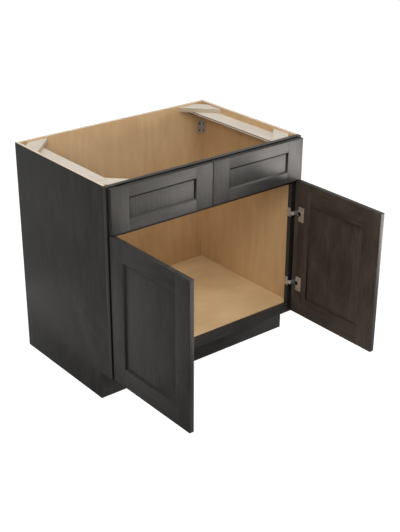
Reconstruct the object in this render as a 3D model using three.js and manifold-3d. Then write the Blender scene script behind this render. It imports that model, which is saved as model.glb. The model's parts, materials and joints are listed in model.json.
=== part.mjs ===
// Framed, full-overlay sink base cabinet, 36 inches wide, with its two doors open.
// Millimetres, +Z up. The origin is the middle of the back's bottom edge: the wall is the plane
// y = 0, the floor is z = 0, and the front of the cabinet faces -Y.

import * as THREE from 'three';
import { mergeVertices } from 'three/addons/utils/BufferGeometryUtils.js';
import Module from 'manifold-3d';

const wasm = await Module();
wasm.setup();

// ---------------------------------------------------------------- driving dimensions

// Whole cabinet
const cabinetWidth = 914.4;
const cabinetDepth = 609.6;
const cabinetHeight = 876.3;

// Sheet parts
const sideThickness = 12.7;
const backThickness = 12.7;
const floorThickness = 12.7;
const floorGrooveDepth = 6.35;
const grooveClearance = 0.3;

// Toe space under the front
const toeHeight = 114.3;
const toeDepth = 76.2;
const toeBoardThickness = 12.7;

// Face frame
const frameThickness = 19.05;
const frameStileWidth = 38.1;
const topRailHeight = 38.1;
const midRailHeight = 38.1;
const midRailBelowFalseFront = 15.84;
const bottomRailHeight = 38.1;

// Side rails and corner blocks near the top
const sideRailWidth = 76.2;
const sideRailThickness = 12.7;
const blockDrop = 6.35;
const blockThickness = 19.05;
const blockLeg = 124.5;
const blockTipCut = 38.1;

// Metal brackets in the two back corners
const bracketLeg = 25.4;
const bracketHeight = 54;
const bracketThickness = 1.6;
const bracketBelowSideRail = 47.2;
const bracketHoleRadius = 2.4;
const bracketHoleSpacing = 30;

// Doors and false drawer fronts: each has two stiles, two rails and a sunk panel
const frontThickness = 19.05;
const frontSideReveal = 6.35;
const frontTopReveal = 4.76;
const frontBottomReveal = 6.35;
const frontCentreGap = 3.2;
const falseFrontHeight = 169.9;
const falseFrontToDoorGap = 3.2;
const frontStileWidth = 76.2;
const doorRailHeight = 76.2;
const falseFrontRailHeight = 43.2;
const innerBevelWidth = 6.35;
const innerBevelDepth = 5.2;
const panelThickness = 6.35;
const panelSetback = 6.35;
const panelGrooveDepth = 9.5;
const panelEdgeClearance = 0.5;
const panelFaceClearance = 0.15;
const joineryClearance = 0.2;

// Hinges: the cup turns about a pin that the arm on the face frame carries
const doorToFrameGap = 3.2;
const doorOpening = 90;
const hingeFromDoorEnd = 136.5;
const cupBoreRadius = 17.5;
const cupBoreToDoorEdge = 3;
const cupWall = 0.7;
const cupClearance = 0.2;
const pinFromDoorEdge = 7;
const pinDepth = 9.2;
const pinRadius = 1.1;
const pinClearance = 0.1;
const pinLength = 17.8;
const flangeStart = 24.5;
const flangeWidth = 29;
const flangeHeight = 62;
const flangeThickness = 1.2;
const armWidth = 15;
const armThickness = 1.5;
const armBendRadius = 3;
const armToCupFloor = 0.3;
const armSideClearance = 0.9;
const armSlotDepth = 3.4;
const knuckleRadius = 1.9;
const knuckleWidth = 10;
const knuckleOverlap = 1.5;
const mountHeight = 36;
const mountThickness = 1.5;
const mountInset = 0.3;
const cheekThickness = 1.6;
const cheekHeight = 3.5;
const cheekClearance = 0.3;
const cheekInset = 1.5;

// Sides of the polygons that stand for round forms
const cupSegments = 32;
const pinSegments = 16;
const holeSegments = 12;
const bendSegments = 6;

// How far a cut reaches past the surface it opens, and how near corners are joined into one
const overshoot = 1;
const weldDistance = 1e-4;

// ---------------------------------------------------------------- sizes that follow

const halfWidth = cabinetWidth / 2;
const innerHalfWidth = halfWidth - sideThickness;
const frameFront = -cabinetDepth;
const frameBack = frameFront + frameThickness;
const backInner = -backThickness;
const toeFront = frameFront + toeDepth;
const floorTop = toeHeight + bottomRailHeight;
const floorUnderside = floorTop - floorThickness;

const frontWidth = halfWidth - frontSideReveal - frontCentreGap / 2;
const falseFrontBottom = cabinetHeight - frontTopReveal - falseFrontHeight;
const midRailBottom = falseFrontBottom - midRailBelowFalseFront;
const doorBottom = toeHeight + frontBottomReveal;
const doorHeight = falseFrontBottom - falseFrontToDoorGap - doorBottom;
const panelBack = frontThickness - panelSetback - panelThickness;

const blockTop = cabinetHeight - blockDrop;
const sideRailTop = blockTop - blockThickness;
const sideRailBottom = sideRailTop - sideRailThickness;

const cupBoreDepth = pinDepth + knuckleRadius + armToCupFloor + cupWall + cupClearance;
const pivotX = halfWidth - frontSideReveal - pinFromDoorEdge;
const pivotY = frameFront - doorToFrameGap - pinDepth;
const hingeHeights = { top: doorHeight - hingeFromDoorEnd, bottom: hingeFromDoorEnd };

// ---------------------------------------------------------------- materials

function material(color, roughness, metalness = 0) {
  return new THREE.MeshStandardMaterial({ color, roughness, metalness });
}

const stainedMaple = material(0x4a4744, 0.5);
const naturalPly = material(0xb98f5f, 0.55);
const palePly = material(0xd3c7b4, 0.6);
const nickel = material(0x9a9590, 0.35, 0.9);

// ---------------------------------------------------------------- geometry helpers

function box(x, y, z) {
  const geometry = new THREE.BoxGeometry(x[1] - x[0], y[1] - y[0], z[1] - z[0]);
  return geometry.translate((x[0] + x[1]) / 2, (y[0] + y[1]) / 2, (z[0] + z[1]) / 2);
}

function extrude(shape, span) {
  const settings = { depth: span[1] - span[0], bevelEnabled: false, curveSegments: bendSegments };
  return new THREE.ExtrudeGeometry(shape, settings).translate(0, 0, span[0]);
}

// Prisms: an outline swept along one axis. The outline's points are [x, y] or [y, z].
function prismAlongZ(points, span) {
  return extrude(new THREE.Shape(points.map(([x, y]) => new THREE.Vector2(x, y))), span);
}

function prismAlongX(points, span) {
  const axes = new THREE.Matrix4().makeBasis(
    new THREE.Vector3(0, 1, 0),
    new THREE.Vector3(0, 0, 1),
    new THREE.Vector3(1, 0, 0),
  );
  return prismAlongZ(points, span).applyMatrix4(axes);
}

function cylinderAlongY(radius, segments, centre, span) {
  const geometry = new THREE.CylinderGeometry(radius, radius, span[1] - span[0], segments);
  return geometry.translate(centre[0], (span[0] + span[1]) / 2, centre[1]);
}

function cylinderAlongZ(radius, segments, centre, span) {
  const geometry = new THREE.CylinderGeometry(radius, radius, span[1] - span[0], segments);
  return geometry.rotateX(Math.PI / 2).translate(centre[0], centre[1], (span[0] + span[1]) / 2);
}

function cylinderAlongX(radius, segments, centre, span) {
  const geometry = new THREE.CylinderGeometry(radius, radius, span[1] - span[0], segments);
  return geometry.rotateZ(Math.PI / 2).translate((span[0] + span[1]) / 2, centre[0], centre[1]);
}

function solid(geometry) {
  const bare = geometry.clone();
  bare.deleteAttribute('normal');
  bare.deleteAttribute('uv');
  const merged = mergeVertices(bare, weldDistance);
  const vertProperties = new Float32Array(merged.attributes.position.array);
  const triVerts = new Uint32Array(merged.index.array);
  return new wasm.Manifold(new wasm.Mesh({ numProp: 3, vertProperties, triVerts }));
}

function geometryOf(manifold) {
  const { vertProperties, triVerts } = manifold.getMesh();
  const geometry = new THREE.BufferGeometry();
  geometry.setAttribute('position', new THREE.BufferAttribute(vertProperties, 3));
  geometry.setIndex(new THREE.BufferAttribute(triVerts, 1));
  geometry.computeVertexNormals();
  return geometry;
}

function cut(geometry, ...tools) {
  return geometryOf(tools.reduce((body, tool) => body.subtract(solid(tool)), solid(geometry)));
}

function join(first, ...others) {
  return geometryOf(others.reduce((body, other) => body.add(solid(other)), solid(first)));
}

function addMesh(parent, name, geometry, finish) {
  const mesh = new THREE.Mesh(geometry, finish);
  mesh.name = name;
  parent.add(mesh);
  return mesh;
}

// A side of the cabinet is -1 (left) or +1 (right). Spans given for the right side are mirrored.
function mirrored(side, span) {
  return side > 0 ? span : [-span[1], -span[0]];
}

const sideName = (side) => (side > 0 ? 'right' : 'left');

// ---------------------------------------------------------------- carcass

function sidePanel(side) {
  const outline = [
    [0, 0],
    [0, cabinetHeight],
    [frameBack, cabinetHeight],
    [frameBack, toeHeight],
    [toeFront, toeHeight],
    [toeFront, 0],
  ];
  const panel = prismAlongX(outline, mirrored(side, [innerHalfWidth, halfWidth]));
  const groove = box(
    mirrored(side, [innerHalfWidth - overshoot, innerHalfWidth + floorGrooveDepth]),
    [frameBack - overshoot, backInner],
    [floorUnderside - grooveClearance / 2, floorTop + grooveClearance / 2],
  );
  return cut(panel, groove);
}

function carcass(group) {
  for (const side of [-1, 1]) {
    addMesh(group, `side_panel_${sideName(side)}`, sidePanel(side), stainedMaple);
  }
  const across = [-innerHalfWidth, innerHalfWidth];
  const back = box(across, [backInner, 0], [0, cabinetHeight]);
  addMesh(group, 'back_panel', back, naturalPly);

  const floorReach = innerHalfWidth + floorGrooveDepth - grooveClearance;
  const floor = box([-floorReach, floorReach], [frameBack, backInner], [floorUnderside, floorTop]);
  addMesh(group, 'floor_panel', floor, naturalPly);

  const toeBoard = box(across, [toeFront, toeFront + toeBoardThickness], [0, floorUnderside]);
  addMesh(group, 'toe_board', toeBoard, stainedMaple);
}

function faceFrame(group) {
  const thickness = [frameFront, frameBack];
  const openingEdge = halfWidth - frameStileWidth;
  for (const side of [-1, 1]) {
    const stile = box(mirrored(side, [openingEdge, halfWidth]), thickness, [toeHeight, cabinetHeight]);
    addMesh(group, `frame_stile_${sideName(side)}`, stile, stainedMaple);
  }
  const rails = {
    top: [cabinetHeight - topRailHeight, cabinetHeight],
    middle: [midRailBottom, midRailBottom + midRailHeight],
    bottom: [toeHeight, floorTop],
  };
  for (const [place, height] of Object.entries(rails)) {
    const rail = box([-openingEdge, openingEdge], thickness, height);
    addMesh(group, `frame_rail_${place}`, rail, stainedMaple);
  }
}

// The top bracing: a flat rail along each side, and a triangular block on it in each corner.
function topBracing(group) {
  for (const side of [-1, 1]) {
    const across = mirrored(side, [innerHalfWidth - sideRailWidth, innerHalfWidth]);
    const rail = box(across, [frameBack, backInner], [sideRailBottom, sideRailTop]);
    addMesh(group, `side_rail_${sideName(side)}`, rail, palePly);

    for (const [place, cornerY, inward] of [['back', backInner, -1], ['front', frameBack, 1]]) {
      const corner = (fromSide, fromEnd) => [
        side * (innerHalfWidth - fromSide),
        cornerY + inward * fromEnd,
      ];
      const outline = [
        corner(blockTipCut, 0),
        corner(blockLeg, 0),
        corner(0, blockLeg),
        corner(0, blockTipCut),
      ];
      const block = prismAlongZ(outline, [sideRailTop, blockTop]);
      addMesh(group, `corner_block_${place}_${sideName(side)}`, block, palePly);
    }
  }
}

// An angle of sheet metal that ties the back panel to a side panel, with two holes in each leg.
function cornerBracket(side) {
  const at = (fromSide, fromBack) => [side * (innerHalfWidth - fromSide), backInner - fromBack];
  const outline = [
    at(0, 0),
    at(bracketLeg, 0),
    at(bracketLeg, bracketThickness),
    at(bracketThickness, bracketThickness),
    at(bracketThickness, bracketLeg),
    at(0, bracketLeg),
  ];
  const top = sideRailBottom - bracketBelowSideRail;
  const height = [top - bracketHeight, top];
  const middle = top - bracketHeight / 2;
  const [x, y] = at((bracketLeg + bracketThickness) / 2, (bracketLeg + bracketThickness) / 2);
  const throughBack = [backInner - bracketThickness - overshoot, backInner + overshoot];
  const innerFace = innerHalfWidth - bracketThickness;
  const throughSide = mirrored(side, [innerFace - overshoot, innerHalfWidth + overshoot]);
  const holes = [middle - bracketHoleSpacing / 2, middle + bracketHoleSpacing / 2].flatMap((z) => [
    cylinderAlongY(bracketHoleRadius, holeSegments, [x, z], throughBack),
    cylinderAlongX(bracketHoleRadius, holeSegments, [y, z], throughSide),
  ]);
  return cut(prismAlongZ(outline, height), ...holes);
}

// ---------------------------------------------------------------- doors and false fronts

// The five pieces of a front. Its back lies in the plane y = 0 and its face at y = -frontThickness,
// with its lower left corner at the origin. The frame's inner edges are bevelled down towards the
// panel, and the rails' ends are coped over the stiles' bevels with a small glue clearance.
function frontPieces(width, height, railHeight) {
  const grooveBack = -panelBack + panelFaceClearance;
  const grooveFront = -(panelBack + panelThickness) - panelFaceClearance;
  const bevelBottom = -frontThickness + innerBevelDepth;
  const stileInner = frontStileWidth + innerBevelWidth;
  const railInner = railHeight + innerBevelWidth;

  // Stile: the bevel and the groove for the panel run down its inner edge
  const stileOutline = (edge, inward, groove) => [
    [edge, 0],
    [edge, -frontThickness],
    [edge + inward * frontStileWidth, -frontThickness],
    [edge + inward * stileInner, bevelBottom],
    ...groove.map(([fromEdge, y]) => [edge + inward * fromEdge, y]),
    [edge + inward * stileInner, 0],
  ];
  const panelGroove = [
    [stileInner, grooveFront],
    [stileInner - panelGrooveDepth, grooveFront],
    [stileInner - panelGrooveDepth, grooveBack],
    [stileInner, grooveBack],
  ];
  const pastEnds = [-overshoot, height + overshoot];
  const cope = [
    prismAlongZ(stileOutline(joineryClearance, 1, []), pastEnds),
    prismAlongZ(stileOutline(width - joineryClearance, -1, []), pastEnds),
  ];

  // Rail: it fits between the stiles, with a tongue at each end in their grooves
  const faceEnd = frontStileWidth + joineryClearance;
  const tongueReach = stileInner - panelGrooveDepth + panelEdgeClearance;
  const tongueFaces = [grooveFront + joineryClearance, grooveBack - joineryClearance];
  const rail = (outer, inward) => {
    const face = outer + inward * railHeight;
    const inner = outer + inward * railInner;
    const outline = [
      [0, outer],
      [-frontThickness, outer],
      [-frontThickness, face],
      [bevelBottom, inner],
      [0, inner],
    ];
    const body = prismAlongX(outline, [faceEnd, width - faceEnd]);
    const ends = [Math.min(outer, inner), Math.max(outer, inner)];
    const tongue = box([tongueReach, width - tongueReach], tongueFaces, ends);
    const grooveEnds = [inner - inward * panelGrooveDepth, inner + inward * overshoot];
    const groove = box([0, width], [grooveFront, grooveBack], grooveEnds.sort((a, b) => a - b));
    return cut(join(cut(body, ...cope), tongue), groove);
  };

  const panelInset = panelGrooveDepth - panelEdgeClearance;
  const panel = box(
    [stileInner - panelInset, width - stileInner + panelInset],
    [-(panelBack + panelThickness), -panelBack],
    [railInner - panelInset, height - railInner + panelInset],
  );

  return {
    stileLeft: prismAlongZ(stileOutline(0, 1, panelGroove), [0, height]),
    stileRight: prismAlongZ(stileOutline(width, -1, panelGroove), [0, height]),
    railTop: rail(height, -1),
    railBottom: rail(0, 1),
    panel,
  };
}

function falseFront(group, side) {
  const pieces = frontPieces(frontWidth, falseFrontHeight, falseFrontRailHeight);
  const front = new THREE.Group();
  const leftEdge = side > 0 ? frontCentreGap / 2 : -frontCentreGap / 2 - frontWidth;
  front.position.set(leftEdge, frameFront, falseFrontBottom);
  group.add(front);

  const name = `false_front_${sideName(side)}`;
  const [outer, inner] = side > 0 ? ['stileRight', 'stileLeft'] : ['stileLeft', 'stileRight'];
  addMesh(front, `${name}_outer_stile`, pieces[outer], stainedMaple);
  addMesh(front, `${name}_inner_stile`, pieces[inner], stainedMaple);
  addMesh(front, `${name}_top_rail`, pieces.railTop, stainedMaple);
  addMesh(front, `${name}_bottom_rail`, pieces.railBottom, stainedMaple);
  addMesh(front, `${name}_panel`, pieces.panel, stainedMaple);
}

// A door is built closed, in a group whose origin is on the hinge axis, and the group is then
// turned open. The leaf group has its origin at the door's lower left back corner.
function door(group, side) {
  const turning = new THREE.Group();
  turning.position.set(side * pivotX, pivotY, doorBottom);
  turning.rotation.z = side * THREE.MathUtils.degToRad(doorOpening);
  group.add(turning);

  const leaf = new THREE.Group();
  leaf.position.set(side > 0 ? pinFromDoorEdge - frontWidth : -pinFromDoorEdge, pinDepth, 0);
  turning.add(leaf);

  const pieces = frontPieces(frontWidth, doorHeight, doorRailHeight);
  const hingeEdge = side > 0 ? frontWidth : 0;
  const [hingeStile, freeStile] =
    side > 0 ? ['stileRight', 'stileLeft'] : ['stileLeft', 'stileRight'];
  const boreX = hingeEdge - side * (cupBoreToDoorEdge + cupBoreRadius);
  const bores = Object.values(hingeHeights).map((z) =>
    cylinderAlongY(cupBoreRadius, cupSegments, [boreX, z], [-cupBoreDepth, overshoot]),
  );

  const name = `door_${sideName(side)}`;
  addMesh(leaf, `${name}_hinge_stile`, cut(pieces[hingeStile], ...bores), stainedMaple);
  addMesh(leaf, `${name}_free_stile`, pieces[freeStile], stainedMaple);
  addMesh(leaf, `${name}_top_rail`, pieces.railTop, stainedMaple);
  addMesh(leaf, `${name}_bottom_rail`, pieces.railBottom, stainedMaple);
  addMesh(leaf, `${name}_panel`, pieces.panel, stainedMaple);

  for (const [place, z] of Object.entries(hingeHeights)) {
    const suffix = `${sideName(side)}_${place}`;
    const onDoor = new THREE.Group();
    onDoor.position.z = z;
    turning.add(onDoor);
    addMesh(onDoor, `hinge_cup_${suffix}`, hingeCup(side), nickel);
    addMesh(onDoor, `hinge_pin_${suffix}`, hingePin(), nickel);

    const onFrame = new THREE.Group();
    onFrame.position.set(side * pivotX, pivotY, doorBottom + z);
    group.add(onFrame);
    addMesh(onFrame, `hinge_arm_${suffix}`, hingeArm(side), nickel);
    addMesh(onFrame, `hinge_mount_${suffix}`, hingeMount(side), nickel);
  }
}

// ---------------------------------------------------------------- hinges

// Every hinge piece is drawn about its pin, with the door closed: x points to the door's hinge
// edge on the right side, y points from the door to the face frame, and z = 0 is the hinge's middle.

const centred = (length) => [-length / 2, length / 2];
const cupCentre = pinFromDoorEdge - cupBoreToDoorEdge - cupBoreRadius;
const stileFace = halfWidth - frameStileWidth - pivotX;
const armFace = stileFace - mountThickness;
const armBottom = -knuckleRadius;

function hingeCup(side) {
  const centre = [side * cupCentre, 0];
  const outerRadius = cupBoreRadius - cupClearance;
  const cupBottom = pinDepth - cupBoreDepth + cupClearance;
  const plateBottom = pinDepth + cupClearance;
  const shell = cylinderAlongY(outerRadius, cupSegments, centre, [cupBottom, plateBottom]);
  const plateNear = pinFromDoorEdge - flangeStart;
  const plate = box(
    mirrored(side, [plateNear - flangeWidth, plateNear]),
    [plateBottom, plateBottom + flangeThickness],
    centred(flangeHeight),
  );
  const innerRadius = outerRadius - cupWall;
  const hollow = cylinderAlongY(innerRadius, cupSegments, centre, [cupBottom + cupWall, plateBottom]);
  const slotEnd = armFace - armThickness - 2 * armSideClearance;
  const armSlot = box(
    mirrored(side, [slotEnd, pinFromDoorEdge - cupBoreToDoorEdge]),
    [plateBottom - armSlotDepth, plateBottom + flangeThickness + overshoot],
    centred(armWidth + 2 * armSideClearance),
  );
  const holeRadius = pinRadius + pinClearance;
  const holeLength = pinLength + overshoot;
  const pinHole = cylinderAlongZ(holeRadius, pinSegments, [0, 0], centred(holeLength));
  const cup = solid(shell).subtract(solid(hollow)).add(solid(plate)).subtract(solid(armSlot));
  return geometryOf(cup.subtract(solid(pinHole)));
}

function hingePin() {
  return cylinderAlongZ(pinRadius, pinSegments, [0, 0], centred(pinLength));
}

// The arm lies on the mounting plate, runs forward past the face frame, bends round, and ends in
// the knuckle that carries the pin.
function hingeArm(side) {
  const rear = frameBack - pivotY - mountInset;
  const outer = armFace - armThickness;
  const top = armBottom + armThickness;
  const outline = new THREE.Shape();
  outline.moveTo(side * outer, rear);
  outline.lineTo(side * outer, armBottom + armBendRadius);
  outline.quadraticCurveTo(side * outer, armBottom, side * (outer + armBendRadius), armBottom);
  outline.lineTo(-side * knuckleOverlap, armBottom);
  outline.lineTo(-side * knuckleOverlap, top);
  outline.lineTo(side * (outer + armBendRadius), top);
  const inner = armBendRadius - armThickness;
  outline.quadraticCurveTo(side * armFace, top, side * armFace, top + inner);
  outline.lineTo(side * armFace, rear);
  outline.closePath();
  const strip = extrude(outline, centred(armWidth));
  const knuckle = cylinderAlongZ(knuckleRadius, pinSegments, [0, 0], centred(knuckleWidth));
  const boreLength = armWidth + 2 * overshoot;
  const bore = cylinderAlongZ(pinRadius + pinClearance, pinSegments, [0, 0], centred(boreLength));
  return cut(join(strip, knuckle), bore);
}

// The mounting plate on the stile's inner face, with a cheek on each side of the arm.
function hingeMount(side) {
  const front = frameFront - pivotY + mountInset;
  const rear = frameBack - pivotY - mountInset;
  const plate = box(mirrored(side, [armFace, stileFace]), [front, rear], centred(mountHeight));
  const cheeks = [-1, 1].map((end) => {
    const near = armWidth / 2 + cheekClearance;
    const height = end > 0 ? [near, near + cheekThickness] : [-near - cheekThickness, -near];
    const across = mirrored(side, [armFace - cheekHeight, armFace]);
    return box(across, [front + cheekInset, rear - cheekInset], height);
  });
  return join(plate, ...cheeks);
}

// ---------------------------------------------------------------- the cabinet

const cabinet = new THREE.Group();
carcass(cabinet);
faceFrame(cabinet);
topBracing(cabinet);
for (const side of [-1, 1]) {
  addMesh(cabinet, `corner_bracket_${sideName(side)}`, cornerBracket(side), nickel);
  falseFront(cabinet, side);
  door(cabinet, side);
}

export default cabinet;
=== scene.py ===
"""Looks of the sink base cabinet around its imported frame: eased wood pieces with stained and
natural maple finishes, plated hinges and brackets with their screws, a pale studio and the
photo's camera. Lengths are in metres unless a comment says millimetres."""

import json
import math
import zlib
from functools import partial

import bmesh
import bpy
from mathutils import Matrix, Vector


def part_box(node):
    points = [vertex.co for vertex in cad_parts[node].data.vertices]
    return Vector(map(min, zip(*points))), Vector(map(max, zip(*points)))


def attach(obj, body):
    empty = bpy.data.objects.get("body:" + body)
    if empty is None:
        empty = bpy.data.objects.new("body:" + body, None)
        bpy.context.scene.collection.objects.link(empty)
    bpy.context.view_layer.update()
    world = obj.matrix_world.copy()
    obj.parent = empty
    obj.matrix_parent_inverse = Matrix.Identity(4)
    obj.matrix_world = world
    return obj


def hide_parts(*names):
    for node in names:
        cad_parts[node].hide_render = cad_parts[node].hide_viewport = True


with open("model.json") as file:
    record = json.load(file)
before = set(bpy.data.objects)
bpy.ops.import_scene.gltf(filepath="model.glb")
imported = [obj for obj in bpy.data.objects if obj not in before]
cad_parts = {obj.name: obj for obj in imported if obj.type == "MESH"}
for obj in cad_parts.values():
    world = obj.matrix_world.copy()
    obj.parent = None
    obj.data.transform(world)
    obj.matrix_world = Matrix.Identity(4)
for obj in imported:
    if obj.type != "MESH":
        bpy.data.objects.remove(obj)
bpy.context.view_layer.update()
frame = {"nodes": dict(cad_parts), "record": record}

MM = 0.001
NODE_BODY = {n: b for b, names in frame["record"]["behaviour"]["bodies"].items() for n in names}
SIDES = {"left": -1, "right": 1}
ENDS = {"low": -1, "high": 1}
AXES = {"x": Vector((1, 0, 0)), "y": Vector((0, 1, 0)), "z": Vector((0, 0, 1))}

# Two coordinates that differ by less than this are the same.
TOUCH = 1e-5
# Cosines: a direction runs along an axis, a face looks in a direction, a face leans that way.
ALONG = 0.9
FACING = 0.7
LEANING = 0.3

WHITE = (1.0, 1.0, 1.0, 1.0)
# One turn in radians, for the sines in the materials.
TURN = 6.2832


def same(a, b):
    return abs(a - b) < TOUCH


# ------------------------------------------------------------------ node-tree helpers


def linear(value):
    value /= 255
    return value / 12.92 if value <= 0.04045 else ((value + 0.055) / 1.055) ** 2.4


def rgba(colour):
    """A colour given as 0-255 display values, for a shader."""
    return (*(linear(c) for c in colour), 1.0)


def shaded(colour, share):
    """A darker tone of a colour given as 0-255 display values."""
    return tuple(share * c for c in colour)


class Tree:
    """A short way to write the nodes of a material or of the world."""

    def __init__(self, owner):
        owner.use_nodes = True
        self.owner = owner
        self.nodes = owner.node_tree.nodes
        self.links = owner.node_tree.links
        self.nodes.clear()

    def add(self, kind, inputs=(), **settings):
        node = self.nodes.new(kind)
        for key, value in settings.items():
            setattr(node, key, value)
        for key, value in dict(inputs).items():
            self.put(node.inputs[key], value)
        return node

    def put(self, socket, value):
        if isinstance(value, bpy.types.NodeSocket):
            self.links.new(value, socket)
        else:
            socket.default_value = value

    def math(self, operation, a, b=0.0):
        return self.add("ShaderNodeMath", {0: a, 1: b}, operation=operation).outputs[0]

    def weighted(self, *terms):
        """The sum of value times weight, over pairs of the two."""
        products = [self.math("MULTIPLY", value, weight) for value, weight in terms]
        total = products[0]
        for product in products[1:]:
            total = self.math("ADD", total, product)
        return total

    def noise(self, vector, scales, detail, roughness, distortion=0.0):
        """Noise from 0 to 1, with its cells per metre along the vector's x, y and z."""
        scaled = self.add("ShaderNodeVectorMath", {0: vector, 1: scales}, operation="MULTIPLY")
        inputs = {
            "Vector": scaled.outputs[0],
            "Scale": 1.0,
            "Detail": detail,
            "Roughness": roughness,
            "Distortion": distortion,
        }
        return self.add("ShaderNodeTexNoise", inputs).outputs["Fac"]

    def spread(self, value, low, high, to_low=0.0, to_high=1.0):
        inputs = {0: value, 1: low, 2: high, 3: to_low, 4: to_high}
        return self.add("ShaderNodeMapRange", inputs).outputs[0]

    def ramp(self, value, dark, light):
        node = self.add("ShaderNodeValToRGB", {0: value})
        for element, colour in zip(node.color_ramp.elements, (dark, light)):
            element.color = rgba(colour)
        return node.outputs[0]

    def mix(self, factor, a, b):
        """Mixes two colours, each a socket or 0-255 display values."""
        node = self.add("ShaderNodeMix", {0: factor}, data_type="RGBA")
        for key, colour in ((6, a), (7, b)):
            is_socket = isinstance(colour, bpy.types.NodeSocket)
            self.put(node.inputs[key], colour if is_socket else rgba(colour))
        return node.outputs[2]

    def bump(self, height, distance):
        return self.add("ShaderNodeBump", {"Height": height, "Distance": distance}).outputs[0]

    def surface(self, **sockets):
        shader = self.add("ShaderNodeBsdfPrincipled")
        for key, value in sockets.items():
            self.put(shader.inputs[key.replace("_", " ")], value)
        self.add("ShaderNodeOutputMaterial", {0: shader.outputs[0]})
        return self.owner

    def grain(self):
        """The piece's own coordinates: x along the grain, y across it, z through it."""
        return self.add("ShaderNodeAttribute", attribute_name="grain").outputs["Vector"]

    def parts(self, vector):
        return self.add("ShaderNodeSeparateXYZ", {0: vector}).outputs

    def glow_strength(self, direct, mirrored):
        """A glow's strength for the camera and for what is mirrored or seen through."""
        path = self.add("ShaderNodeLightPath").outputs
        indirect = self.math("MAXIMUM", path["Is Glossy Ray"], path["Is Transmission Ray"])
        return self.math(
            "MAXIMUM",
            self.math("MULTIPLY", path["Is Camera Ray"], direct),
            self.math("MULTIPLY", indirect, mirrored),
        )


# ------------------------------------------------------------------ materials


def stained_maple(name, dark, light, roughness, specular):
    """Maple under a grey wiping stain and a satin topcoat: fine streaks, blotches and pores."""
    t = Tree(bpy.data.materials.new(name))
    grain = t.grain()
    streaks = t.noise(grain, (5.0, 150.0, 150.0), detail=5.0, roughness=0.62)
    fine = t.noise(grain, (22.0, 700.0, 700.0), detail=3.0, roughness=0.6)
    blotches = t.noise(grain, (6.0, 15.0, 15.0), detail=5.0, roughness=0.62, distortion=0.4)
    bands = t.noise(grain, (2.2, 60.0, 60.0), detail=3.0, roughness=0.6)
    pores = t.noise(grain, (60.0, 1500.0, 1500.0), detail=1.0, roughness=0.5)
    tone = t.weighted((streaks, 0.22), (fine, 0.22), (blotches, 0.46), (bands, 0.10))
    colour = t.ramp(t.spread(tone, 0.38, 0.62), dark, light)
    pore_mask = t.spread(pores, 0.66, 0.76)
    colour = t.mix(t.math("MULTIPLY", pore_mask, 0.45), colour, shaded(dark, 0.55))
    height = t.math("SUBTRACT", t.math("MULTIPLY", streaks, 0.6), pore_mask)
    return t.surface(
        Base_Color=colour,
        Roughness=t.spread(blotches, 0.3, 0.7, roughness - 0.04, roughness + 0.05),
        Normal=t.bump(height, 0.02 * MM),
        Specular_IOR_Level=specular,
    )


def natural_maple(name, dark, light, figure=1.0, straight=1.0, cloud=(4.0, 8.0)):
    """Clear-coated maple veneer: soft streaks and clouds over a faint cathedral figure.

    figure and straight are the strengths of the arches and of the straight grain, and cloud is
    the clouds' cells per metre along and across the grain.
    """
    t = Tree(bpy.data.materials.new(name))
    grain = t.grain()
    x, y, _ = t.parts(grain)
    warp = t.noise(grain, (1.3, 4.0, 4.0), detail=2.0, roughness=0.5)
    rings = t.weighted((y, 16.0), (warp, 6.0), (x, 0.6))
    rings = t.spread(t.math("SINE", t.math("MULTIPLY", rings, TURN)), -1.0, 1.0)
    broad = t.noise(grain, (2.2, 34.0, 34.0), detail=3.0, roughness=0.55)
    streaks = t.noise(grain, (7.0, 190.0, 190.0), detail=4.0, roughness=0.6)
    cloud_scales = (cloud[0], cloud[1], cloud[1])
    clouds = t.noise(grain, cloud_scales, detail=4.0, roughness=0.55, distortion=0.6)
    fleck = t.noise(grain, (45.0, 900.0, 900.0), detail=2.0, roughness=0.55)
    tone = t.weighted(
        (rings, 0.05 * figure),
        (broad, 0.16 * straight),
        (streaks, 0.20 * straight),
        (clouds, 0.81 - 0.36 * straight),
        (fleck, 0.16),
    )
    middle = 0.485 + 0.025 * figure
    return t.surface(
        Base_Color=t.ramp(t.spread(tone, middle - 0.16, middle + 0.16), dark, light),
        Roughness=t.spread(clouds, 0.3, 0.7, 0.46, 0.56),
        Normal=t.bump(t.weighted((streaks, 1.0), (fleck, 0.4)), 0.04 * MM),
        Specular_IOR_Level=0.26,
    )


def ply_edge(name, plies, thickness, pale, brown):
    """A sawn plywood edge: the plies show by turns as long grain and as rough end grain."""
    t = Tree(bpy.data.materials.new(name))
    grain = t.grain()
    wobble = t.noise(grain, (9.0, 9.0, 0.0), detail=2.0, roughness=0.5)
    wobble = t.spread(wobble, 0.3, 0.7, -0.3 * MM, 0.3 * MM)
    through = t.math("ADD", t.parts(grain)["Z"], wobble)
    phase = t.math("MULTIPLY", through, TURN * plies / (2.0 * thickness))
    layer = t.spread(t.math("SINE", phase), -0.35, 0.35)
    fibre = t.noise(grain, (30.0, 30.0, 1800.0), detail=3.0, roughness=0.6)
    pits = t.noise(grain, (420.0, 420.0, 900.0), detail=2.0, roughness=0.6)
    end_grain = t.mix(t.spread(pits, 0.35, 0.62), shaded(brown, 0.72), brown)
    long_grain = t.mix(t.spread(fibre, 0.3, 0.7), shaded(pale, 0.9), pale)
    return t.surface(
        Base_Color=t.mix(layer, end_grain, long_grain),
        Roughness=0.72,
        Normal=t.bump(t.weighted((layer, 0.5), (pits, 0.7)), 0.1 * MM),
        Specular_IOR_Level=0.3,
    )


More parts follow.
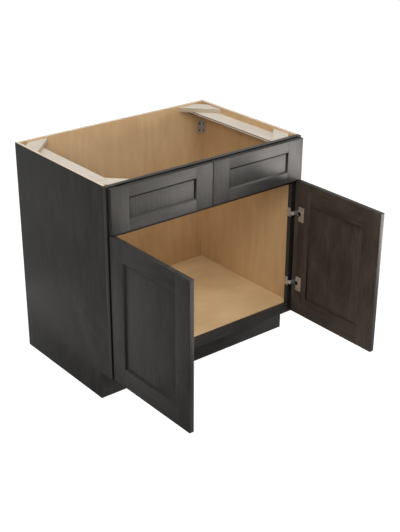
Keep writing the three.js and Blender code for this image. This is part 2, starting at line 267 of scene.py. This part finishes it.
def plated(name, colour, roughness, metal, scale=2600.0):
    """Plated or blackened steel: faint brushing, with this many lines a metre, and cloudy gloss."""
    t = Tree(bpy.data.materials.new(name))
    place = t.add("ShaderNodeTexCoord").outputs["Object"]
    brushed = t.noise(place, (scale, scale, scale * 0.08), detail=3.0, roughness=0.6)
    clouds = t.noise(place, (90.0, 90.0, 90.0), detail=3.0, roughness=0.55)
    shade = t.weighted((brushed, 0.4), (clouds, 0.6))
    return t.surface(
        Base_Color=t.ramp(t.spread(shade, 0.3, 0.7), shaded(colour, 0.86), colour),
        Metallic=metal,
        Roughness=t.spread(clouds, 0.3, 0.7, roughness - 0.05, roughness + 0.07),
        Normal=t.bump(brushed, 0.03 * MM),
    )


HALF_INCH = 12.7 * MM
THREE_QUARTER = 19.05 * MM

# The stain as it faces the room; two darker copies of it that are painted shade, the lighter one in
# recess walls and on the stiles' front faces, the deeper one in the false fronts' recesses, under
# their bottom edges and on the rails behind them; and the stain on the backs.
STAIN = stained_maple("stained_maple", (39, 38, 36), (63, 61, 58), 0.35, 0.08)
STAIN_PAINTED_SHADE = stained_maple("stained_maple_painted_shade", (21, 20, 18), (38, 36, 33), 0.35, 0.08)
STAIN_PAINTED_DEEP_SHADE = stained_maple("stained_maple_painted_deep_shade", (9, 8, 7), (19, 18, 17), 0.45, 0.05)
STAIN_BACK = stained_maple("stained_maple_back", (54, 46, 40), (82, 73, 66), 0.45, 0.08)
NATURAL = natural_maple("natural_ply", (185, 150, 108), (206, 173, 129))
FLOOR = natural_maple(
    "natural_ply_floor", (187, 156, 114), (211, 182, 139), 0.2, 0.25, (3.0, 4.5)
)
PALE = natural_maple("pale_ply", (178, 168, 152), (202, 193, 181), 0.6)
EDGE_RAIL = ply_edge("ply_edge_rail", 3, HALF_INCH, (228, 214, 192), (120, 96, 74))
EDGE_HALF = ply_edge("ply_edge_half_inch", 5, HALF_INCH, (232, 224, 210), (196, 176, 150))
EDGE_THREE_QUARTER = ply_edge(
    "ply_edge_three_quarter", 9, THREE_QUARTER, (226, 214, 194), (176, 150, 118)
)
NICKEL = plated("nickel", (186, 179, 172), 0.36, 0.6)
NICKEL_ARM = plated("nickel_arm", (206, 204, 200), 0.3, 0.75)
SCREW = plated("nickel_screw", (176, 172, 166), 0.3, 0.85, 3400.0)
BLACK_SCREW = plated("blackened_screw", (44, 41, 42), 0.42, 0.5, 3400.0)
# Dark steel that is painted shade, inside the hinge cups and in the screws' cross recesses.
STEEL_PAINTED_SHADE = plated("steel_painted_shade", (34, 33, 32), 0.45, 0.4, 1400.0)


# ------------------------------------------------------------------ mesh helpers


def ride_along(name, mesh, body):
    """A new object of the scene that moves with a body of the frame."""
    piece = bpy.data.objects.new(name, mesh)
    bpy.context.scene.collection.objects.link(piece)
    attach(piece, body)
    return piece


def apply_modifiers(piece):
    """Gives the piece the mesh that its modifiers make, and returns that mesh."""
    bpy.context.view_layer.update()
    depsgraph = bpy.context.evaluated_depsgraph_get()
    result = bpy.data.meshes.new_from_object(piece.evaluated_get(depsgraph))
    piece.modifiers.clear()
    piece.data = result
    return result


def apply_bevel(piece, width, segments, **limits):
    """Eases the piece's edges, shades it smooth between them, and returns the mesh."""
    for polygon in piece.data.polygons:
        polygon.use_smooth = True
    bevel = piece.modifiers.new("ease", "BEVEL")
    bevel.width = width
    bevel.segments = segments
    bevel.harden_normals = True
    for key, value in limits.items():
        setattr(bevel, key, value)
    return apply_modifiers(piece)


def paint(mesh, materials, pick=None):
    """Gives each face the material that pick(normal, centre) returns, or else the first."""
    mesh.materials.clear()
    for material in materials:
        mesh.materials.append(material)
    for polygon in mesh.polygons:
        material = pick(polygon.normal, polygon.center) if pick else materials[0]
        polygon.material_index = materials.index(material)


def to_mesh(bm, name):
    mesh = bpy.data.meshes.new(name)
    bm.to_mesh(mesh)
    bm.free()
    return mesh


def clean_bmesh(node):
    """A CAD solid's mesh, with the lines inside its flat faces taken out."""
    bm = bmesh.new()
    bm.from_mesh(frame["nodes"][node].data)
    bmesh.ops.remove_doubles(bm, verts=bm.verts, dist=1e-6)
    bmesh.ops.dissolve_limit(
        bm, angle_limit=math.radians(0.5), verts=bm.verts, edges=bm.edges
    )
    return bm


def weighted_copy(node, ease):
    """A copy of a CAD solid with each edge's radius as its bevel weight, and the largest radius.

    ease(middle of the edge, normal a, normal b, direction) gives the edge's radius.
    """
    bm = clean_bmesh(node)
    bm.normal_update()
    radii = {}
    for edge in bm.edges:
        if len(edge.link_faces) != 2 or not edge.is_convex:
            continue
        if edge.calc_face_angle() < math.radians(25):
            continue
        a, b = (face.normal.copy() for face in edge.link_faces)
        middle = (edge.verts[0].co + edge.verts[1].co) / 2
        direction = (edge.verts[1].co - edge.verts[0].co).normalized()
        radii[edge.index] = ease(middle, a, b, direction)
    largest = max(radii.values())
    weights = bm.edges.layers.float.new("bevel_weight_edge")
    bm.edges.index_update()
    for edge in bm.edges:
        edge[weights] = radii.get(edge.index, 0.0) / largest
    return to_mesh(bm, f"{node}_eased"), largest


def write_grain(mesh, name, along, across):
    """Writes the piece's own coordinates on its points, for the wood's materials.

    Each piece's are moved by amounts made from its name, so that no two pieces match.
    """
    u, v = AXES[along], AXES[across]
    w = u.cross(v)
    seed = zlib.crc32(name.encode())
    shift = Vector(((seed & 255) * 0.37, (seed >> 8 & 255) * 0.41, 0.0))
    low = Vector([min(vert.co[i] for vert in mesh.vertices) for i in range(3)])
    values = []
    for vert in mesh.vertices:
        d = vert.co - low
        values.extend(Vector((d.dot(u), d.dot(v), d.dot(w))) + shift)
    attribute = mesh.attributes.new("grain", "FLOAT_VECTOR", "POINT")
    attribute.data.foreach_set("vector", values)


def wood(node, along, across, materials, pick, ease):
    """Replaces a wooden CAD node by an eased piece with a grain direction and finished faces."""
    mesh, largest = weighted_copy(node, ease)
    piece = ride_along(f"{node}_wood", mesh, NODE_BODY[node])
    mesh = apply_bevel(piece, largest, segments=3, limit_method="WEIGHT")
    paint(mesh, materials, pick)
    write_grain(mesh, node, along, across)
    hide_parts(node)


# ------------------------------------------------------------------ carcass

PANEL_EASE = 0.35 * MM
SIDE_RAIL_EASE = 0.4 * MM
BLOCK_EASE = 0.5 * MM
FLOOR_EASE = 0.3 * MM
TOE_BOARD_EASE = 0.4 * MM

LEVEL = [(0, 0, 1), (0, 0, -1)]
FRONT_AND_BACK = [(0, 1, 0), (0, -1, 0)]


def even(radius):
    return lambda middle, a, b, direction: radius


def by_normal(rules, other):
    """Picks the material of the first direction that the face looks in."""

    def pick(normal, centre):
        for direction, material in rules:
            if normal.dot(Vector(direction)) > FACING:
                return material
        return other

    return pick


def veneered(directions, face, edge):
    """Picks one material for the faces that look in these directions, and one for the edges."""
    return by_normal([(direction, face) for direction in directions], edge)


def build_carcass():
    for side, s in SIDES.items():
        rules = [((s, 0, 0), STAIN), ((-s, 0, 0), NATURAL), ((0, -1, 0), STAIN)]
        wood(
            f"side_panel_{side}", "z", "y", [STAIN, NATURAL, EDGE_HALF],
            by_normal(rules, EDGE_HALF), even(PANEL_EASE),
        )
        wood(
            f"side_rail_{side}", "y", "x", [PALE, EDGE_RAIL],
            veneered(LEVEL, PALE, EDGE_RAIL), even(SIDE_RAIL_EASE),
        )
        for place in ("front", "back"):
            wood(
                f"corner_block_{place}_{side}", "x", "y", [PALE, EDGE_THREE_QUARTER],
                veneered(LEVEL, PALE, EDGE_THREE_QUARTER), even(BLOCK_EASE),
            )
    wood(
        "back_panel", "z", "x", [NATURAL, EDGE_HALF],
        veneered(FRONT_AND_BACK, NATURAL, EDGE_HALF), even(PANEL_EASE),
    )
    wood("floor_panel", "x", "y", [FLOOR], None, even(FLOOR_EASE))
    wood("toe_board", "x", "z", [STAIN], None, even(TOE_BOARD_EASE))


# ------------------------------------------------------------------ face frame

FRAME_STILE_WIDTH = 38.1 * MM
FRAME_EASE = 0.8 * MM
FRAME_JOINT_EASE = 0.12 * MM


def shaded_behind_fronts(stain):
    """Picks this darker stain, which is painted shade, for the face that the doors and false fronts
    cover.
    """
    return by_normal([((0, -1, 0), stain)], STAIN)


def build_face_frame():
    low = min(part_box(f"frame_stile_{side}")[0].z for side in SIDES)
    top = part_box("frame_stile_left")[1].z
    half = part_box("frame_stile_right")[1].x

    def stile_ease(middle, a, b, direction):
        outer = same(abs(middle.x), half) or same(middle.z, low) or same(middle.z, top)
        one_on_face = sum(abs(n.y) > ALONG for n in (a, b)) == 1
        return FRAME_EASE if outer or one_on_face else FRAME_JOINT_EASE

    def rail_ease(middle, a, b, direction):
        """As for a stile, but sharp where the rail meets one."""
        at_stile = same(abs(middle.x), half - FRAME_STILE_WIDTH)
        if at_stile and max(abs(a.x), abs(b.x)) > ALONG:
            return FRAME_JOINT_EASE
        return stile_ease(middle, a, b, direction)

    # The stiles' faces behind the doors get the lighter painted shade; the top and middle rails'
    # faces behind the false fronts get the deeper one.
    for side in SIDES:
        wood(
            f"frame_stile_{side}", "z", "x", [STAIN, STAIN_PAINTED_SHADE],
            shaded_behind_fronts(STAIN_PAINTED_SHADE), stile_ease,
        )
    for place in ("top", "middle", "bottom"):
        pick = None if place == "bottom" else shaded_behind_fronts(STAIN_PAINTED_DEEP_SHADE)
        wood(
            f"frame_rail_{place}", "x", "z", [STAIN, STAIN_PAINTED_DEEP_SHADE],
            pick, rail_ease,
        )


# ------------------------------------------------------------------ doors and false fronts

FACE_EASE = 2.2 * MM
BACK_EASE = 1.4 * MM
GAP_EASE = 0.5 * MM
INNER_EASE = 0.4 * MM
HAIRLINE = 0.05 * MM
# The false fronts' edges nearer than this to the middle face each other across the gap.
GAP_REACH = 4 * MM
# Faces nearer than this to a front's outline belong to its outer edges.
EDGE_BAND = 2 * FACE_EASE
# How squarely the bevel around the recess looks to the front.
BEVEL_SLOPE = (0.5, 0.95)


def build_front(base, stiles, width_axis, back):
    """Replaces the five pieces of a door or false front: eased outer edges, hairline joints.

    width_axis is x for a false front and y for a door, which stands open at rest, and back is
    the direction that its back looks in.
    """
    rails = [f"{base}_bottom_rail", f"{base}_top_rail"]
    pieces = [f"{base}_{stile}_stile" for stile in stiles] + rails + [f"{base}_panel"]
    low = Vector([min(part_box(piece)[0][i] for piece in pieces) for i in range(3)])
    high = Vector([max(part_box(piece)[1][i] for piece in pieces) for i in range(3)])
    wide, thick, up = "xyz".index(width_axis), 1 - "xyz".index(width_axis), 2
    is_false_front = width_axis == "x"

    def from_outline(point, axis):
        return min(abs(point[axis] - low[axis]), abs(point[axis] - high[axis]))

    def ease(in_rail, middle, a, b, direction):
        at_side = from_outline(middle, wide) < TOUCH
        at_end = from_outline(middle, up) < TOUCH
        upright, level = abs(direction[up]) > ALONG, abs(direction[wide]) > ALONG
        if (at_side and upright) or (at_end and level) or (at_side and at_end):
            if is_false_front and abs(middle.x) < GAP_REACH:
                return GAP_EASE
            faces_back = max(a.dot(back), b.dot(back)) > ALONG
            return BACK_EASE if faces_back else FACE_EASE
        if from_outline(middle, thick) < TOUCH and (level or upright):
            across = a if abs(a[thick]) < abs(b[thick]) else b
            at_joint = upright and in_rail and abs(across[wide]) > 0.99
            return HAIRLINE if at_joint else INNER_EASE
        return HAIRLINE

    def pick(normal, centre):
        if normal.dot(back) > FACING:
            return STAIN_BACK
        looks_down = normal.z < -LEANING
        # A false front's eased bottom edge, where it looks down, is painted with deep shade.
        if is_false_front and looks_down and centre.z - low.z < EDGE_BAND:
            return STAIN_PAINTED_DEEP_SHADE
        on_bevel = BEVEL_SLOPE[0] < -normal.dot(back) < BEVEL_SLOPE[1]
        if not on_bevel or min(from_outline(centre, i) for i in (wide, up)) <= EDGE_BAND:
            return STAIN
        # In a false front's recess, the top and right walls are painted with deep shade.
        if is_false_front and (looks_down or normal.x < -LEANING):
            return STAIN_PAINTED_DEEP_SHADE
        # A door recess's top wall and a false front recess's left wall are painted with lighter
        # shade.
        if looks_down or (is_false_front and normal.x > LEANING):
            return STAIN_PAINTED_SHADE
        return STAIN

    materials = [STAIN, STAIN_BACK, STAIN_PAINTED_SHADE, STAIN_PAINTED_DEEP_SHADE]
    for piece in pieces:
        in_rail = piece in rails
        along, across = (width_axis, "z") if in_rail else ("z", width_axis)
        wood(piece, along, across, materials, pick, partial(ease, in_rail))


def build_fronts():
    for side, s in SIDES.items():
        build_front(f"false_front_{side}", ("outer", "inner"), "x", Vector((0, 1, 0)))
        build_front(f"door_{side}", ("hinge", "free"), "y", Vector((-s, 0, 0)))


# ------------------------------------------------------------------ metal pieces and screws

SHARP = math.radians(35)
PLATE_EASE = 0.18 * MM
LINK_EASE = 0.15 * MM

# A screw head: sides of its rim, its section as shares of radius and height, and its recess, whose
# faces are painted with shade.
HEAD_SIDES = 24
HEAD_SECTION = [(1.0, -0.4), (1.0, 0.25), (0.93, 0.62), (0.72, 0.88), (0.4, 1.0)]
CROSS_THINNESS = 0.3
RECESS_REACH = 2.1 * MM
RECESS_SHADE = 0.3 * MM


def metal_piece(name, mesh, body, materials, pick=None, ease=0.0):
    """A metal piece from a mesh in world coordinates, with its sharp edges eased."""
    piece = ride_along(name, mesh, body)
    if ease > 0:
        mesh = apply_bevel(piece, ease, segments=2, limit_method="ANGLE", angle_limit=SHARP)
    paint(mesh, materials, pick)
    return piece


def plated_node(node, materials, pick=None):
    """Replaces a metal CAD node by a copy with eased edges."""
    mesh = to_mesh(clean_bmesh(node), f"{node}_copy")
    piece = metal_piece(f"{node}_plated", mesh, NODE_BODY[node], materials, pick, PLATE_EASE)
    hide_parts(node)


def refinish(node, material):
    """Gives a CAD node that keeps its own mesh another material."""
    materials = frame["nodes"][node].data.materials
    materials.clear()
    materials.append(material)


def prism(points, low, high):
    """An outline in x and y swept from low to high along z."""
    bm = bmesh.new()
    bottom = [bm.verts.new((x, y, low)) for x, y in points]
    top = [bm.verts.new((x, y, high)) for x, y in points]
    bm.faces.new(bottom)
    bm.faces.new(top)
    for i in range(len(points)):
        j = (i + 1) % len(points)
        bm.faces.new((bottom[i], bottom[j], top[j], top[i]))
    bmesh.ops.recalc_face_normals(bm, faces=bm.faces)
    return bm


def placed(bm, name, place):
    """Turns a bmesh drawn in millimetres into a mesh in the world, by a function of a point."""
    for vert in bm.verts:
        vert.co = place(vert.co)
    bmesh.ops.recalc_face_normals(bm, faces=bm.faces)
    return to_mesh(bm, name)


def screw_head(radius, height, cross, depth):
    """A low domed head about the z axis, in millimetres, with a cross recess in its top.

    cross is the recess's reach from the axis and depth its depth.
    """
    bm = bmesh.new()
    turns = [2 * math.pi * i / HEAD_SIDES for i in range(HEAD_SIDES)]
    levels = []
    for r, h in HEAD_SECTION:
        ring = [(radius * r * math.cos(a), radius * r * math.sin(a), height * h) for a in turns]
        levels.append([bm.verts.new(point) for point in ring])
    for lower, upper in zip(levels, levels[1:]):
        for i in range(HEAD_SIDES):
            j = (i + 1) % HEAD_SIDES
            bm.faces.new((lower[i], lower[j], upper[j], upper[i]))
    bm.faces.new(levels[-1])
    bm.faces.new(levels[0][::-1])
    bmesh.ops.recalc_face_normals(bm, faces=bm.faces)
    head = bpy.data.objects.new("head", to_mesh(bm, "head"))

    long, thin = cross, cross * CROSS_THINNESS
    outline = [
        (thin, thin), (thin, long), (-thin, long), (-thin, thin), (-long, thin), (-long, -thin),
        (-thin, -thin), (-thin, -long), (thin, -long), (thin, -thin), (long, -thin), (long, thin),
    ]
    cutter_mesh = to_mesh(prism(outline, height - depth, height + 1), "cutter")
    cutter = bpy.data.objects.new("cutter", cutter_mesh)
    for item in (head, cutter):
        bpy.context.scene.collection.objects.link(item)
    cut = head.modifiers.new("recess", "BOOLEAN")
    cut.operation = "DIFFERENCE"
    cut.solver = "EXACT"
    cut.object = cutter
    result = apply_modifiers(head)
    for item in (head, cutter):
        bpy.data.objects.remove(item)
    return result


def screw(name, head, body, seat, outward, turn, finish=SCREW):
    """A screw head at a point of a surface that looks outward, turned by some degrees."""
    z = Vector(outward)
    x = Vector((0, 0, 1))
    spin = Matrix.Rotation(math.radians(turn), 3, "Z")
    axes = Matrix((x, z.cross(x), z)).transposed() @ spin
    seat = Vector(seat)
    top = max(vert.co.z for vert in head.vertices) * MM
    bm = bmesh.new()
    bm.from_mesh(head)
    mesh = placed(bm, name, lambda p: seat + axes @ p * MM)

    # Faces in the cross recess are painted with shade.
    def pick(normal, centre):
        d = centre - seat
        height = d.dot(z)
        across = (d - z * height).length
        in_recess = normal.dot(z) < 0.5 or height < top - RECESS_SHADE
        return STEEL_PAINTED_SHADE if in_recess and across < RECESS_REACH else finish

    metal_piece(name, mesh, body, [finish, STEEL_PAINTED_SHADE], pick)


# ------------------------------------------------------------------ hinges and brackets

# Measures from a hinge's pin: x towards the cabinet's middle, y to the front, z up or down.
CUP_MOUTH_X = 9.2 * MM
CUP_CENTRE_Y = 13.5 * MM
CUP_INNER_RADIUS = 16.9 * MM
CUP_MOUTH_SLACK = 0.1 * MM
FLANGE_SCREW_Y = 34.0 * MM
FLANGE_SCREW_Z = 21.0 * MM
PLATE_FACE_X = 26.25 * MM
PLATE_SCREW_Z = 14.0 * MM
# How far behind the middle of the mount the arm's screw sits.
ARM_SCREW_BACK = 1.5 * MM

# The link's two cheeks, in millimetres from the pin: their outline, and where they lie in z.
LINK_OUTLINE = [
    (0.1, -2.7), (0.1, 2.6), (-3.2, 6.4), (-6.6, 9.6), (-9.4, 10.8), (-17.3, 10.8),
    (-17.3, 8.2), (-12.0, 6.6), (-8.2, 2.4), (-5.0, -2.7),
]
LINK_CHEEKS = {"low": (-9.2, -7.8), "high": (7.8, 9.2)}

BRACKET_THICKNESS = 1.6 * MM
BRACKET_SCREW_Z = 15 * MM


def build_hinge(side, place, flange_head, mount_head):
    s = SIDES[side]
    suffix = f"{side}_{place}"
    kinds = ("cup", "arm", "mount", "pin")
    cup, arm, mount, pin_node = (f"hinge_{kind}_{suffix}" for kind in kinds)
    door, root = NODE_BODY[cup], NODE_BODY[arm]
    inward = (-s, 0, 0)
    pin_low, pin_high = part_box(pin_node)
    pin = (Vector(pin_low) + Vector(pin_high)) / 2

    def inner_x(node):
        """Where the node's side that looks to the cabinet's middle lies."""
        low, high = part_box(node)
        return low.x if s > 0 else high.x

    # Faces inside the cup are painted with shade.
    def cup_pick(normal, centre):
        across = math.hypot(centre.y - (pin.y - CUP_CENTRE_Y), centre.z - pin.z)
        deep = (centre.x - (pin.x - s * CUP_MOUTH_X)) * s > -CUP_MOUTH_SLACK
        return STEEL_PAINTED_SHADE if deep and across < CUP_INNER_RADIUS else NICKEL

    def on_door(p):
        """Places a point of a link's cheek as the door stands at rest."""
        return Vector((pin.x - s * p.y * MM, pin.y + p.x * MM, pin.z + p.z * MM))

    plated_node(cup, [NICKEL, STEEL_PAINTED_SHADE], cup_pick)
    for word, end in ENDS.items():
        seat = (inner_x(cup), pin.y - FLANGE_SCREW_Y, pin.z + end * FLANGE_SCREW_Z)
        screw(f"hinge_screw_{suffix}_{word}", flange_head, door, seat, inward, 20 + 31 * end)
        cheek = placed(prism(LINK_OUTLINE, *LINK_CHEEKS[word]), "hinge_link", on_door)
        name = f"hinge_link_{suffix}_{word}"
        metal_piece(name, cheek, door, [NICKEL_ARM], None, LINK_EASE)

    plated_node(arm, [NICKEL_ARM])
    plated_node(mount, [NICKEL])
    refinish(pin_node, NICKEL_ARM)
    mount_low, mount_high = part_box(mount)
    middle_y = (mount_low.y + mount_high.y) / 2
    for word, end in ENDS.items():
        seat = (pin.x - s * PLATE_FACE_X, middle_y, pin.z + end * PLATE_SCREW_Z)
        screw(f"mount_screw_{suffix}_{word}", mount_head, root, seat, inward, 12 + 40 * end)
    seat = (inner_x(arm), middle_y + ARM_SCREW_BACK, pin.z)
    screw(f"arm_screw_{suffix}", mount_head, root, seat, inward, 30)


def build_bracket(side, head):
    """Plates a corner bracket, which keeps its mesh, and adds its four blackened screws."""
    s = SIDES[side]
    node = f"corner_bracket_{side}"
    refinish(node, NICKEL)
    low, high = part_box(node)
    middle = (Vector(low) + Vector(high)) / 2
    outer_x = high.x if s > 0 else low.x
    back_middle_x = middle.x - s * BRACKET_THICKNESS / 2
    side_middle_y = middle.y - BRACKET_THICKNESS / 2
    for word, end in ENDS.items():
        z = middle.z + end * BRACKET_SCREW_Z
        on_back = (back_middle_x, high.y - BRACKET_THICKNESS, z)
        on_side = (outer_x - s * BRACKET_THICKNESS, side_middle_y, z)
        for leg, seat, outward, turn in (
            ("back", on_back, (0, -1, 0), 15 * end),
            ("side", on_side, (-s, 0, 0), 25 * end),
        ):
            name = f"bracket_screw_{side}_{leg}_{word}"
            screw(name, head, NODE_BODY[node], seat, outward, turn, BLACK_SCREW)


def build_metal():
    flange_head = screw_head(radius=3.7, height=1.0, cross=2.0, depth=0.9)
    mount_head = screw_head(radius=3.1, height=1.3, cross=1.7, depth=1.0)
    for side in SIDES:
        for place in ("top", "bottom"):
            build_hinge(side, place, flange_head, mount_head)
    bracket_head = screw_head(radius=3.9, height=1.3, cross=1.7, depth=1.0)
    for side in SIDES:
        build_bracket(side, bracket_head)


# ------------------------------------------------------------------ studio

FLOOR_SIZE = 40
FLOOR_GREY = (140, 140, 140)
# How bright floor and backdrop are to the camera and in reflections; 1 is white.
FLOOR_GLOW = {"direct": 0.92, "mirrored": 0.38}
BACKDROP_GLOW = {"direct": 1.0, "mirrored": 0.8}
AMBIENT = 0.32

# The lamps that light the cabinet: name, place, point that it looks at, size, watts.
LIGHTING = [
    ("overhead", (0.1, 0.2, 3.5), (0, -0.3, 0.4), (2.2, 2.0), 48),
    ("front_top", (-0.6, -2.2, 3.2), (0, -0.3, 0.4), (2.0, 2.0), 34),
    ("left_top", (-2.7, -2.3, 2.4), (-0.4, -0.7, 0.4), (1.6, 1.6), 40),
    ("right_low", (2.2, -2.8, 0.7), (0.2, -0.5, 0.5), (1.3, 1.2), 70),
]
# The lamps that are only mirrored, in the satin stain: the same, and warmer. All but the last
# lie just above the floor and look straight up.
MIRRORED = [
    ("sheen_near", (0.55, -2.58, 0.03), (0.55, -2.58, 1), (1.6, 1.64), 72),
    ("sheen_far", (2.3, -2.9, 0.03), (2.3, -2.9, 1), (1.9, 2.4), 450),
    ("sheen_low", (0.3, -0.9, 0.03), (0.3, -0.9, 1), (1.0, 0.35), 0.9),
    ("sheen_side", (-0.95, -0.15, 0.03), (-0.95, -0.15, 1), (0.8, 1.1), 1.8),
    ("sheen_side_far", (-1.65, 1.35, 0.03), (-1.65, 1.35, 1), (1.0, 1.0), 2.4),
    ("sheen_high", (2.1, -2.4, 3.0), (0, -0.6, 0.7), (1.2, 1.2), 75),
]
NEUTRAL = (1.0, 1.0, 1.0)
WARM = (1.0, 0.935, 0.905)


def lamp(name, place, target, size, power, colour, only_mirrored):
    data = bpy.data.lights.new(name, "AREA")
    data.shape = "RECTANGLE"
    data.size, data.size_y = size
    data.energy = power
    data.color = colour
    holder = bpy.data.objects.new(name, data)
    holder.location = place
    aim = Vector(target) - Vector(place)
    holder.rotation_euler = aim.to_track_quat("-Z", "Y").to_euler()
    holder.visible_camera = False
    holder.visible_diffuse = not only_mirrored
    bpy.context.scene.collection.objects.link(holder)


def build_floor():
    bpy.ops.mesh.primitive_plane_add(size=FLOOR_SIZE, location=(0, 0, 0))
    floor = bpy.context.active_object
    floor.name = "studio_floor"
    t = Tree(bpy.data.materials.new("studio_floor"))
    pale = t.add("ShaderNodeBsdfDiffuse", {"Color": rgba(FLOOR_GREY)})
    strength = t.glow_strength(**FLOOR_GLOW)
    glow = t.add("ShaderNodeEmission", {"Color": WHITE, "Strength": strength})
    both = t.add("ShaderNodeAddShader", {0: pale.outputs[0], 1: glow.outputs[0]})
    t.add("ShaderNodeOutputMaterial", {0: both.outputs[0]})
    floor.data.materials.append(t.owner)


def build_backdrop():
    """A white world to the camera and in reflections, and soft light to everything else."""
    world = bpy.data.worlds.new("studio")
    bpy.context.scene.world = world
    t = Tree(world)
    ambient = t.add("ShaderNodeBackground", {"Color": WHITE, "Strength": AMBIENT})
    strength = t.glow_strength(**BACKDROP_GLOW)
    backdrop = t.add("ShaderNodeBackground", {"Color": WHITE, "Strength": strength})
    seen = t.glow_strength(direct=1.0, mirrored=1.0)
    sockets = {0: seen, 1: ambient.outputs[0], 2: backdrop.outputs[0]}
    mix = t.add("ShaderNodeMixShader", sockets)
    t.add("ShaderNodeOutputWorld", {0: mix.outputs[0]})


def build_studio():
    build_floor()
    build_backdrop()
    for settings in LIGHTING:
        lamp(*settings, NEUTRAL, False)
    for settings in MIRRORED:
        lamp(*settings, WARM, True)


# ------------------------------------------------------------------ camera

# The camera that was fitted to the photo: its place, its angles in radians, its focal length
# in the photo's pixels, and the photo's height.
CAMERA_PLACE = (-2.32622, -3.43401, 2.17890)
YAW, PITCH, ROLL = 0.679538, 0.441685, 0.004504
FOCAL_PIXELS = 1063.8435
PHOTO_HEIGHT = 532
SENSOR_MM = 36


def build_camera():
    level = math.cos(PITCH)
    forward = Vector((math.sin(YAW) * level, math.cos(YAW) * level, -math.sin(PITCH)))
    right = Vector((math.cos(YAW), -math.sin(YAW), 0))
    up = right.cross(forward)
    tilted_right = math.cos(ROLL) * right + math.sin(ROLL) * up
    tilted_up = math.cos(ROLL) * up - math.sin(ROLL) * right
    data = bpy.data.cameras.new("photo_camera")
    data.sensor_width = SENSOR_MM
    data.lens = SENSOR_MM * FOCAL_PIXELS / PHOTO_HEIGHT
    data.clip_end = 100
    camera = bpy.data.objects.new("photo_camera", data)
    turn = Matrix((tilted_right, tilted_up, -forward)).transposed().to_4x4()
    camera.matrix_world = Matrix.Translation(CAMERA_PLACE) @ turn
    bpy.context.scene.collection.objects.link(camera)
    bpy.context.scene.camera = camera


build_camera()
build_carcass()
build_face_frame()
build_fronts()
build_metal()
build_studio()

bpy.context.scene.view_settings.view_transform = "Standard"
